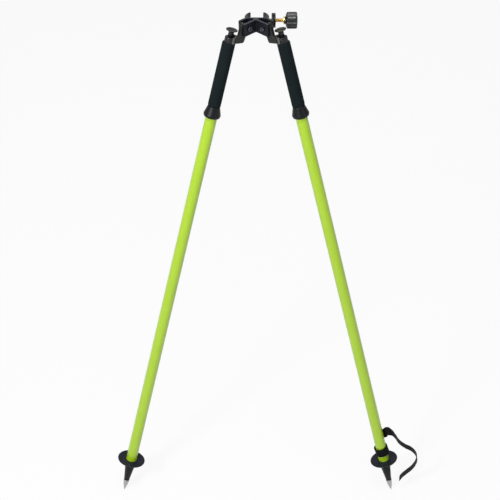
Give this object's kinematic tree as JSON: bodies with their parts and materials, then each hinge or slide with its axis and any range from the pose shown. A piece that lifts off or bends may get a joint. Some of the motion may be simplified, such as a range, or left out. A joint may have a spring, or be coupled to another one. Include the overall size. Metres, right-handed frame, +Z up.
{
  "type": "prism pole bipod",
  "caption": "Two-legged support that clamps a survey pole in hooked jaws and holds it upright on telescopic legs with pointed step feet.",
  "frame": {"origin": "on the axis of the clamped pole, level with the clamp screw's axis", "axes": "+Z up along the pole, +X along the clamp screw towards its knob, -Y to the side the legs stand on"},
  "size_m": [0.7171, 0.3008, 1.1758],
  "materials": {
    "head_casting": "satin, cast aluminium painted near black",
    "arm_casting": "satin, cast aluminium painted dark grey",
    "saddle_plate": "bare plate",
    "jaw_lining": "matt",
    "brass_screw": "turned",
    "steel": "bright",
    "spring_steel": "drawn wire",
    "point_steel": "turned",
    "knob_plastic": "satin",
    "washer_plastic": "matt",
    "cap_plastic": "satin",
    "button_plastic": "satin",
    "collar_plastic": "satin",
    "foot_plastic": "satin",
    "rod_aluminium": "anodised",
    "foam": "closed-cell foam, matt",
    "green_paint": "gloss lime-green paint on aluminium tube",
    "webbing": "woven nylon webbing"
  },
  "bodies": {
    "head": {"head_casting": "head_casting", "fixed_jaw_pad": "jaw_lining", "thread_bush": "brass_screw", "left_hinge_bolt": "steel", "right_hinge_bolt": "steel"},
    "movable_jaw": {"movable_jaw": "head_casting", "movable_jaw_pad": "jaw_lining", "jaw_pin": "steel"},
    "clamp_knob": {"clamp_screw": "brass_screw", "clamp_knob": "knob_plastic"},
    "left_leg": {"left_arm": "arm_casting", "left_arm_stud": "steel", "left_saddle": "saddle_plate", "left_hinge_washers": "washer_plastic", "left_top_cap": "cap_plastic", "left_return_spring": "spring_steel", "left_inner_rod": "rod_aluminium", "left_foam_grip": "foam", "left_lock_sleeve": "cap_plastic"},
    "left_button": {"left_thumb_button": "button_plastic", "left_control_rod": "rod_aluminium", "left_lock_cone": "cap_plastic"},
    "left_lower_leg": {"left_bell_collar": "collar_plastic", "left_guide_bush": "cap_plastic", "left_outer_tube": "green_paint", "left_foot": "foot_plastic", "left_step_disc": "foot_plastic", "left_steel_point": "point_steel"},
    "right_leg": {"right_arm": "arm_casting", "right_arm_stud": "steel", "right_saddle": "saddle_plate", "right_hinge_washers": "washer_plastic", "right_top_cap": "cap_plastic", "right_return_spring": "spring_steel", "right_inner_rod": "rod_aluminium", "right_foam_grip": "foam", "right_lock_sleeve": "cap_plastic"},
    "right_button": {"right_thumb_button": "button_plastic", "right_control_rod": "rod_aluminium", "right_lock_cone": "cap_plastic"},
    "right_lower_leg": {"right_bell_collar": "collar_plastic", "right_guide_bush": "cap_plastic", "right_outer_tube": "green_paint", "right_foot": "foot_plastic", "right_step_disc": "foot_plastic", "right_steel_point": "point_steel", "strap_loop": "webbing", "strap_tail": "webbing"}
  },
  "joints": [
    {"name": "jaw_slide", "type": "slide", "parent": "head", "child": "movable_jaw", "axis": [1, 0, 0], "range_m": [-0.012, 0.005]},
    {"name": "knob_turn", "type": "hinge", "parent": "movable_jaw", "child": "clamp_knob", "pos_m": [0.05, 0, 0], "axis": [1, 0, 0], "range_deg": [-4320, 1800]},
    {"name": "left_leg_hinge", "type": "hinge", "parent": "head", "child": "left_leg", "pos_m": [-0.014, -0.03805, 0.0045], "axis": [-0.6428, 0.766, 0], "range_deg": [-17.2, 27.8]},
    {"name": "left_button_press", "type": "slide", "parent": "left_leg", "child": "left_button", "axis": [-0.2265, -0.1901, -0.9553], "range_m": [0, 0.006], "stiffness_N_per_m": 500, "springref_m": -0.005},
    {"name": "left_telescope", "type": "slide", "parent": "left_leg", "child": "left_lower_leg", "axis": [-0.2265, -0.1901, -0.9553], "range_m": [0, 0.65]},
    {"name": "right_leg_hinge", "type": "hinge", "parent": "head", "child": "right_leg", "pos_m": [0.014, -0.03805, 0.0045], "axis": [-0.6428, -0.766, 0], "range_deg": [-17.2, 27.8]},
    {"name": "right_button_press", "type": "slide", "parent": "right_leg", "child": "right_button", "axis": [0.2265, -0.1901, -0.9553], "range_m": [0, 0.006], "stiffness_N_per_m": 500, "springref_m": -0.005},
    {"name": "right_telescope", "type": "slide", "parent": "right_leg", "child": "right_lower_leg", "axis": [0.2265, -0.1901, -0.9553], "range_m": [0, 0.65]}
  ],
  "couplings": [
    {"joint": "knob_turn", "follows": "jaw_slide", "rad_per_m": 6283.2}
  ]
}
